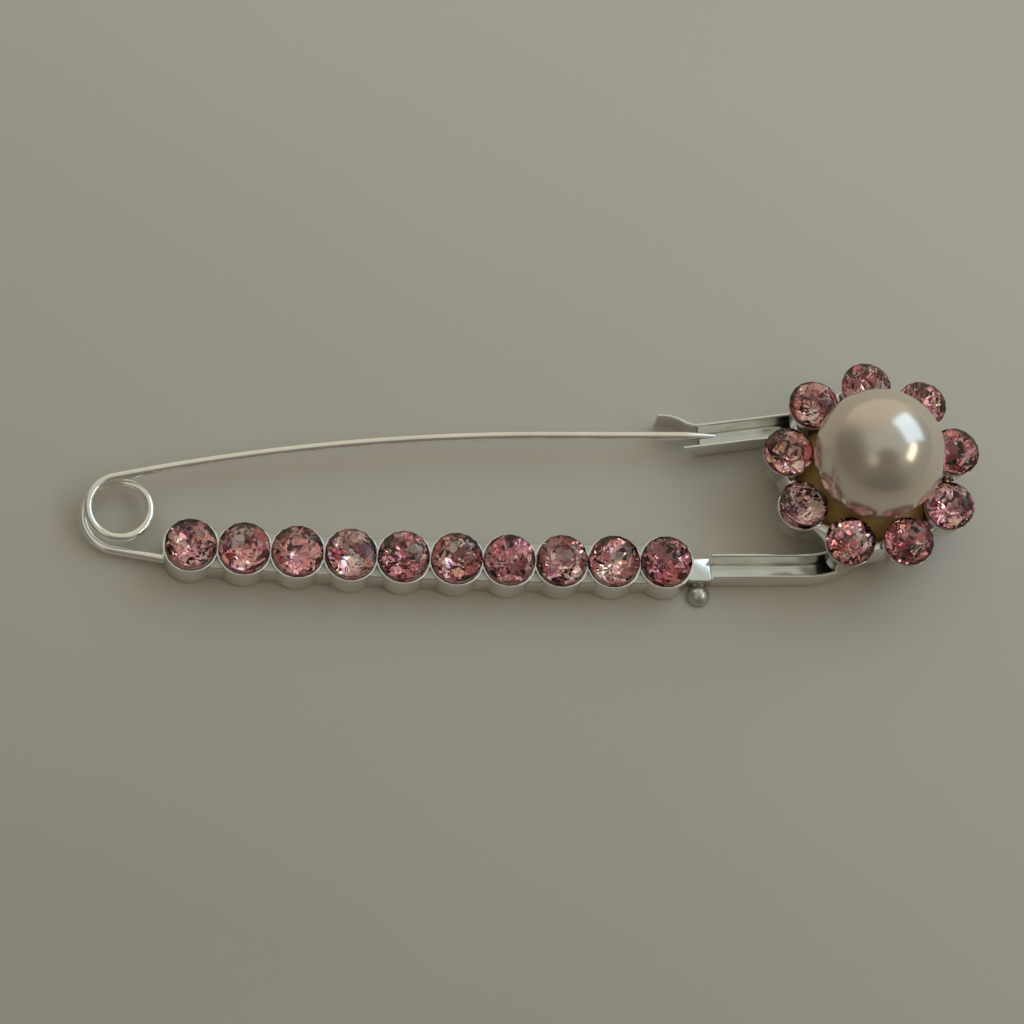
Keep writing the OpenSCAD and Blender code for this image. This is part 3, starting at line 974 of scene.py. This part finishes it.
def flared_end(bm, faces, back):
    """Runs the outer wall to the pinch, away from the pin and back again, and returns its end."""
    faces = push(bm, faces, back * FLOOR_BACK)
    pinch = polar(BEND_R, CATCH_ANGLE) + back * CATCH_LEG
    flare_in = pinch + polar(WALL_MID + FLARE_IN_R, CATCH_ANGLE)
    faces = bend_round(bm, faces, flare_in, -FLARE_IN_TURN, FLARE_IN_STEPS)
    turned = CATCH_ANGLE + math.pi - FLARE_IN_TURN
    flare_out = flare_in + polar(FLARE_IN_R + FLARE_OUT_R, turned)
    return bend_round(bm, faces, flare_out, FLARE_OUT_TURN, FLARE_OUT_STEPS)


# Flower


def flower_cup(bm, place, sizes):
    """Outside of a flower cup, which widens upwards from its foot in the plate."""
    edge = sizes.rim_edge / MM
    slope = (FLOWER_CUP_R - FLOWER_FOOT_R) / (FLOWER_RIM_Z - FLOWER_LOW)
    profile = [
        (0, FLOWER_LOW),
        (FLOWER_FOOT_R, FLOWER_LOW),
        (FLOWER_CUP_R - slope * edge, FLOWER_RIM_Z - edge),
    ]
    profile += arc((FLOWER_CUP_R - edge, FLOWER_RIM_Z - edge), edge, 20, 90, 3)
    profile += [(0, FLOWER_RIM_Z)]
    lathe(bm, profile, place)


def plate_and_peg():
    """Plate under the flower, with the peg for the pearl."""
    bm = bmesh.new()
    side = PLATE_R - PLATE_EDGE
    peg_top = PLATE_TOP + PEARL_GAP + PEG_LEN
    profile = [(0, FLOWER_LOW)] + arc((side, FLOWER_LOW + PLATE_EDGE), PLATE_EDGE, -90, 0, 4)
    profile += arc((side, PLATE_TOP - PLATE_EDGE), PLATE_EDGE, 0, 90, 4)
    profile += [(PEG_R, PLATE_TOP), (PEG_R, peg_top), (0, peg_top)]
    lathe(bm, profile, FLOWER)
    return bm


def flower_webs():
    """Webs between the flower cups, as one ring with a corner inside each cup."""
    bm = bmesh.new()
    turn = Matrix.Translation(FLOWER + Vector((0, 0, CHANNEL_H))) @ Matrix.Rotation(FLOWER_START, 4, "Z")
    near = (PLATE_R + WEB_GAP) / math.cos(FLOWER_STEP / 2)
    far = (PLATE_R + WEB_GAP + WEB_W) / math.cos(FLOWER_STEP / 2)
    rings = [
        bmesh.ops.create_circle(bm, segments=FLOWER_COUNT, radius=r, matrix=turn)["verts"]
        for r in (near, far)
    ]
    edges = {edge for ring in rings for v in ring for edge in v.link_edges}
    faces = bmesh.ops.bridge_loops(bm, edges=list(edges))["faces"]
    top = push(bm, faces, (0, 0, FLOWER_CUP_H - WEB_DROP))
    edges = {edge for face in top for edge in face.edges}
    rims = [edge for edge in edges if any(face not in top for face in edge.link_faces)]
    round_edges(bm, rims, WEB_EDGE)
    return bm


def flower_setting(sizes):
    """Nine cups on a plate, with the webs between them and the peg for the pearl."""
    cups, rooms = bmesh.new(), bmesh.new()
    for i in range(1, FLOWER_COUNT + 1):
        flower_cup(cups, flower_place(i), sizes)
        stone_room(rooms, flower_place(i), FLOWER_STONE_D, FLOWER_RIM_Z)
    return joined([cups, plate_and_peg(), flower_webs()], [rooms])


def pearl_ball():
    """Pearl with the hole for its peg."""
    ball, hole = bmesh.new(), bmesh.new()
    middle = Matrix.Translation(FLOWER + Vector((0, 0, PEARL_Z)))
    bmesh.ops.create_icosphere(ball, subdivisions=7, radius=PEARL_R, matrix=middle)
    bottom = Matrix.Translation(FLOWER + Vector((0, 0, PEARL_Z - PEARL_R)))
    rod(hole, PEG_R + PEARL_GAP, PEG_R + PEARL_GAP, 2 * (PEG_LEN + PEARL_GAP), bottom)
    return joined([ball], [hole])


def glue_fillet():
    """Glue that has crept up round the pearl and out between the cups."""
    bed, ball, cups, peg = (bmesh.new() for _ in range(4))
    low = PLATE_TOP + GLUE_GAP
    top = low + GLUE_OUTLINE[-1][1]
    profile = [(0, low)] + [(r, low + height) for r, height in GLUE_OUTLINE] + [(0, top)]
    lathe(bed, profile, FLOWER, FINE_ROUND)
    middle = Matrix.Translation(FLOWER + Vector((0, 0, PEARL_Z)))
    bmesh.ops.create_icosphere(ball, subdivisions=6, radius=PEARL_R + GLUE_GAP, matrix=middle)
    room = 1.5 * GLUE_GAP
    cup_middle = Vector((0, 0, CHANNEL_H + (FLOWER_CUP_H - SOLDER_H) / 2))
    for i in range(1, FLOWER_COUNT + 1):
        place = Matrix.Translation(flower_place(i) + cup_middle)
        rod(cups, FLOWER_FOOT_R + room, FLOWER_CUP_R + room, FLOWER_CUP_H + SOLDER_H, place)
    bore = PEG_R + GLUE_GAP
    above = 2 * top
    lathe(peg, [(0, 0), (bore, 0), (bore, above), (0, above)], FLOWER, SMALL_ROUND)
    return joined([bed], [ball, cups, peg])


# Sprung wire


def coil_point(angle, lead, tail, centre):
    """Point on the coil, which opens out at both of its ends and sinks on its way to the tail."""
    r = COIL_R + COIL_LEAD * (1 - smooth_step((angle - lead) / LEAD_FADE))
    r += COIL_OPEN * smooth_step((angle - OPEN_FROM) / OPEN_FADE)
    height = ARM_Z + (TAIL_Z - ARM_Z) * (angle - lead) / (tail - lead)
    return centre + polar(r, angle) + Vector((0, 0, height))


def tip_place():
    """Tip of the pin, inside the catch."""
    start = polar(BEND_R, CATCH_ANGLE) - polar(CATCH_LEG - TIP_INSET, RETURN_ANGLE)
    return start + Vector((0, -TIP_SIDE, ARM_Z))


def arm_path():
    """Middle line of the pin arm from its root at the coil to the start of its point."""
    bow_end = tip_place() - Vector((ARM_STRAIGHT, 0, 0))
    centre = bow_end - Vector((0, ARM_BOW_R, 0))
    turns = [ARM_BOW_TURN * (1 - k / ARM_STEPS) for k in range(ARM_STEPS + 1)]
    path = [centre + Vector((-ARM_BOW_R * math.sin(a), ARM_BOW_R * math.cos(a), 0)) for a in turns]
    run = ARM_STRAIGHT - POINT_LEN
    path += [bow_end + Vector((run * k / RUN_STEPS, 0, 0)) for k in range(1, RUN_STEPS + 1)]
    return path


def coil_path():
    """Middle line of the coil, from the pin arm's root to the start of the tail."""
    lead = math.pi / 2 + ARM_BOW_TURN
    tail = math.tau + math.radians(270) - TAIL_SLOPE
    centre = arm_path()[0] - polar(COIL_R + COIL_LEAD, lead)
    centre.z = 0
    turns = [lead + (tail - lead) * k / COIL_STEPS for k in range(COIL_STEPS + 1)]
    return [coil_point(turn, lead, tail, centre) for turn in turns]


def tail_heading():
    """Direction of the tail, down towards the bar in plan."""
    return Vector((math.cos(TAIL_SLOPE), -math.sin(TAIL_SLOPE), 0))


def tail_path():
    """Middle line of the tail, from the end of the coil to its end in the bar."""
    start = coil_path()[-1]
    end_x = bar_place(1).x - BAR_CUP_R + TAIL_HOLD
    run = (end_x - start.x) / math.cos(TAIL_SLOPE)
    return [start + tail_heading() * run * k / TAIL_STEPS for k in range(1, TAIL_STEPS + 1)]


def point_radius(r, t):
    """Radius of the tapered point at a share of its length."""
    return r * math.sqrt(max(1 - t ** 1.25, 0.002)) ** 1.15


def sprung_wire(sizes):
    """One round wire from the tail in the bar, round the coil and along the arm to the point."""
    r = sizes.wire_d / MM / 2
    arm = arm_path()
    path = [(place, r) for place in reversed(tail_path())]
    path += [(place, r) for place in reversed(coil_path())]
    path += [(place, r) for place in arm[1:]]
    for k in range(1, POINT_STEPS + 1):
        t = k / POINT_STEPS
        path.append((arm[-1] + Vector((POINT_LEN * t, 0, 0)), point_radius(r, t)))
    curve = bpy.data.curves.new("wire", "CURVE")
    curve.dimensions = "3D"
    curve.bevel_depth = 1.0
    curve.bevel_resolution = 8
    curve.use_fill_caps = True
    spline = curve.splines.new("POLY")
    spline.points.add(len(path) - 1)
    for point, (place, thick) in zip(spline.points, path):
        point.co = (*place, 1)
        point.radius = thick
    holder = placed("wire", curve)
    skin = bpy.data.meshes.new_from_object(holder)
    bm = bmesh.new()
    bm.from_mesh(skin)
    bpy.data.objects.remove(holder)
    bpy.data.curves.remove(curve)
    bpy.data.meshes.remove(skin)
    return closed(bm)


# Stones


def cut_stone(bm, d):
    """Cut stone with its girdle's lower edge at the origin's height, as the hull of its corners."""
    r = d / 2
    half = math.pi / FACETS
    table_r = TABLE_D / 2
    star_r = table_r + (r - table_r) * STAR_SHARE
    star_h = GIRDLE_H + CROWN_H * (r - star_r * math.cos(half)) / (r - table_r)
    keel_r = r * KEEL_SHARE
    keel_h = -PAVILION_H * (r - keel_r * math.cos(half)) / r
    rings = [
        (FACETS, table_r, GIRDLE_H + CROWN_H, 0),
        (FACETS, star_r, star_h, half),
        (2 * FACETS, r, GIRDLE_H, 0),
        (2 * FACETS, r, 0, 0),
        (FACETS, keel_r, keel_h, half),
    ]
    for count, ring_r, height, turn in rings:
        place = Matrix.Translation((0, 0, height)) @ Matrix.Rotation(turn, 4, "Z")
        bmesh.ops.create_circle(bm, segments=count, radius=ring_r, matrix=place)
    bm.verts.new((0, 0, -PAVILION_H))
    bmesh.ops.delete(bm, geom=list(bm.edges), context="EDGES_FACES")
    bmesh.ops.convex_hull(bm, input=bm.verts)
    bmesh.ops.dissolve_limit(bm, angle_limit=math.radians(1), verts=bm.verts, edges=bm.edges)
    bmesh.ops.recalc_face_normals(bm, faces=bm.faces)


def seated_stone(place, rim_z, d, seat):
    """Cut stone in its cup, turned and leaning as its seat says, with glass above and foil below."""
    turn, tilt, toward, proud = seat
    bm = bmesh.new()
    cut_stone(bm, d)
    # from_axis holds the distance from the stone's axis, which steers the foil's painted shade at its
    # edge.
    from_axis = bm.verts.layers.float.new("from_axis")
    for v in bm.verts:
        v[from_axis] = v.co.xy.length / (d / 2)
    # Faces of the girdle take the dark girdle material, which is painted shade.
    for face in bm.faces:
        up = face.normal.z
        face.material_index = 0 if up > GIRDLE_SLOPE else 2 if up > -GIRDLE_SLOPE else 1
    pose = Matrix.Translation(place + Vector((0, 0, rim_z + STONE_STAND + proud * GIRDLE_H)))
    pose @= Matrix.Rotation(math.radians(toward), 4, "Z")
    pose @= Matrix.Rotation(math.radians(tilt), 4, "Y")
    pose @= Matrix.Rotation(math.radians(turn - toward), 4, "Z")
    bmesh.ops.transform(bm, matrix=pose, verts=bm.verts)
    return bm


# Stage


def area_light(name, direction, distance, size, watts, tint):
    """Soft rectangular light that faces the brooch from a direction."""
    light = bpy.data.lights.new(name, "AREA")
    light.shape = "RECTANGLE"
    light.size, light.size_y = size
    light.energy = watts
    light.color = tint
    away = Vector(direction).normalized()
    holder = placed(name, light)
    holder.location = away * distance
    holder.rotation_euler = away.to_track_quat("Z", "Y").to_euler()


def room_light():
    """Dim room round the table, with a brighter band of wall and a dark front."""
    world = bpy.data.worlds.new("Room")
    world.use_nodes = True
    bpy.context.scene.world = world
    tree = world.node_tree
    background = tree.nodes["Background"]
    place = add_node(tree, "ShaderNodeTexCoord")
    room = ROOM_BASE
    for direction, outer, inner, tint in ROOM_SPOTS:
        near = add_node(tree, "ShaderNodeVectorMath", operation="DOT_PRODUCT")
        near.inputs[1].default_value = Vector(direction).normalized()
        link(tree, place, "Generated", near, 0)
        spot = mask(tree, near, "Value", math.cos(math.radians(outer)), math.cos(math.radians(inner)))
        spot.interpolation_type = "SMOOTHSTEP"
        room = blended(tree, spot, "Result", room, tint)
    link(tree, room, MIX_RESULT, background, "Color")
    background.inputs["Strength"].default_value = 1.0


def table_board(tint):
    """Large flat table that the brooch lies on."""
    bm = bmesh.new()
    bmesh.ops.create_grid(bm, x_segments=1, y_segments=1, size=TABLE_REACH)
    mesh = bpy.data.meshes.new("table_top")
    bm.to_mesh(mesh)
    bm.free()
    mesh.materials.append(table_top(tint))
    placed("table_top", mesh)


def photo_camera():
    """Camera at the photograph's angle, with the brooch's Y axis upright in the picture."""
    lens = bpy.data.cameras.new("camera")
    lens.lens = CAMERA_LENS
    lens.sensor_width = CAMERA_SENSOR
    lens.clip_start = CAMERA_NEAR
    level = polar(math.cos(CAMERA_ELEVATION), CAMERA_AZIMUTH - math.pi / 2)
    back = level + Vector((0, 0, math.sin(CAMERA_ELEVATION)))
    up = Vector((0, back.z, -back.y)).normalized()
    turn = Matrix((up.cross(back), up, back)).transposed().to_4x4()
    camera = placed("camera", lens)
    camera.matrix_world = Matrix.Translation(CAMERA_TARGET + back * CAMERA_DISTANCE) @ turn
    bpy.context.scene.camera = camera


# Operators


class BROOCH_OT_stage(bpy.types.Operator):
    """Makes the table, the lights and the camera"""

    bl_idname = "brooch.stage"
    bl_label = "Table, lights and camera"

    def execute(self, context):
        settings = context.scene.brooch_stage
        table_board(settings.table)
        area_light(
            "window",
            direction=(0.65, 0.42, 0.63),
            distance=0.6,
            size=(0.46, 0.40),
            watts=settings.window_power,
            tint=(0.54, 0.78, 1.0),
        )
        area_light(
            "lamp",
            direction=(0.72, -0.20, 0.65),
            distance=0.9,
            size=(0.42, 0.18),
            watts=settings.lamp_power,
            tint=(1.0, 0.93, 0.78),
        )
        room_light()
        photo_camera()
        context.scene.view_settings.view_transform = "Standard"
        return {"FINISHED"}


class BROOCH_OT_bar(bpy.types.Operator):
    """Makes the bar of cups with its neck and knob"""

    bl_idname = "brooch.bar"
    bl_label = "Bar of cups"

    def execute(self, context):
        silver_piece("stone_bar", stone_bar(context.scene.brooch_metal), darkened_plate())
        return {"FINISHED"}


class BROOCH_OT_channel(bpy.types.Operator):
    """Makes the head channel with its catch"""

    bl_idname = "brooch.channel"
    bl_label = "Head channel"

    def execute(self, context):
        silver_piece("head_channel", head_channel(context.scene.brooch_metal))
        return {"FINISHED"}


class BROOCH_OT_flower(bpy.types.Operator):
    """Makes the flower's cups, plate, webs and peg"""

    bl_idname = "brooch.flower"
    bl_label = "Flower setting"

    def execute(self, context):
        silver_piece("flower_setting", flower_setting(context.scene.brooch_metal))
        return {"FINISHED"}


class BROOCH_OT_wire(bpy.types.Operator):
    """Makes the coil and the pin arm as one sprung wire"""

    bl_idname = "brooch.wire"
    bl_label = "Sprung wire"

    def execute(self, context):
        bm = sprung_wire(context.scene.brooch_metal)
        nodes = ["spring_coil", "pin_arm"]
        piece = finish_piece("sprung_wire", bm, nodes, [spring_steel()], smooth=60)
        root = (arm_path()[0] + BEND_PLACE) * MM
        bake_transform(piece)
        return {"FINISHED"}


class BROOCH_OT_pearl(bpy.types.Operator):
    """Makes the pearl and the glue under it"""

    bl_idname = "brooch.pearl"
    bl_label = "Pearl and glue"

    def execute(self, context):
        colours = context.scene.brooch_pearl
        coat = pearl_coat(colours.lacquer)
        ball = finish_piece("flower_pearl", pearl_ball(), ["pearl"], [coat], smooth=60)
        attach(ball, "brooch")
        amber = amber_glue(colours.glue)
        glue = finish_piece("pearl_glue", glue_fillet(), ["glue_bed"], [amber], smooth=40)
        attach(glue, "brooch")
        return {"FINISHED"}


class BROOCH_OT_stones(bpy.types.Operator):
    """Makes the cut stones of the bar and the flower"""

    bl_idname = "brooch.stones"
    bl_label = "Cut stones"

    def execute(self, context):
        colours = context.scene.brooch_stones
        materials = [rose_glass(colours.glass), foil_back(colours), girdle_shade(colours.edge)]
        rows = (
            ("bar_stone", BAR_COUNT, bar_place, BAR_CUP_H, BAR_STONE_D, BAR_SEATS),
            ("flower_stone", FLOWER_COUNT, flower_place, FLOWER_RIM_Z, FLOWER_STONE_D, FLOWER_SEATS),
        )
        for name, count, place, rim_z, d, seats in rows:
            for i in range(1, count + 1):
                bm = seated_stone(place(i), rim_z, d, seats[i - 1])
                node = f"{name}_{i}"
                piece = finish_piece(f"cut_{node}", bm, [node], materials, smooth=0)
                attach(piece, "brooch")
        return {"FINISHED"}


class BROOCH_PT_panel(bpy.types.Panel):
    """Lists the steps and settings of the brooch"""

    bl_idname = "BROOCH_PT_panel"
    bl_label = "Brooch"
    bl_space_type = "VIEW_3D"
    bl_region_type = "UI"
    bl_category = "Brooch"

    def draw(self, context):
        for holder, kind in SETTINGS:
            box = self.layout.box()
            for key in kind.__annotations__:
                box.prop(getattr(context.scene, holder), key)
        for operator in OPERATORS:
            self.layout.operator(operator.bl_idname)


SETTINGS = (
    ("brooch_metal", BroochMetalSettings),
    ("brooch_stones", BroochStoneSettings),
    ("brooch_pearl", BroochPearlSettings),
    ("brooch_stage", BroochStageSettings),
)
OPERATORS = (
    BROOCH_OT_stage,
    BROOCH_OT_bar,
    BROOCH_OT_channel,
    BROOCH_OT_flower,
    BROOCH_OT_wire,
    BROOCH_OT_pearl,
    BROOCH_OT_stones,
)


def register():
    """Registers the settings, the operators and the panel."""
    for name, kind in SETTINGS:
        bpy.utils.register_class(kind)
        setattr(bpy.types.Scene, name, bpy.props.PointerProperty(type=kind))
    for kind in (*OPERATORS, BROOCH_PT_panel):
        bpy.utils.register_class(kind)


def unregister():
    """Takes away what register added."""
    for kind in (BROOCH_PT_panel, *reversed(OPERATORS)):
        bpy.utils.unregister_class(kind)
    for name, kind in reversed(SETTINGS):
        delattr(bpy.types.Scene, name)
        bpy.utils.unregister_class(kind)


def main():
    """Makes the whole brooch on its table."""
    register()
    bpy.ops.brooch.stage()
    bpy.ops.brooch.bar()
    bpy.ops.brooch.channel()
    bpy.ops.brooch.flower()
    bpy.ops.brooch.wire()
    bpy.ops.brooch.pearl()
    bpy.ops.brooch.stones()


if __name__ == "__main__":
    main()
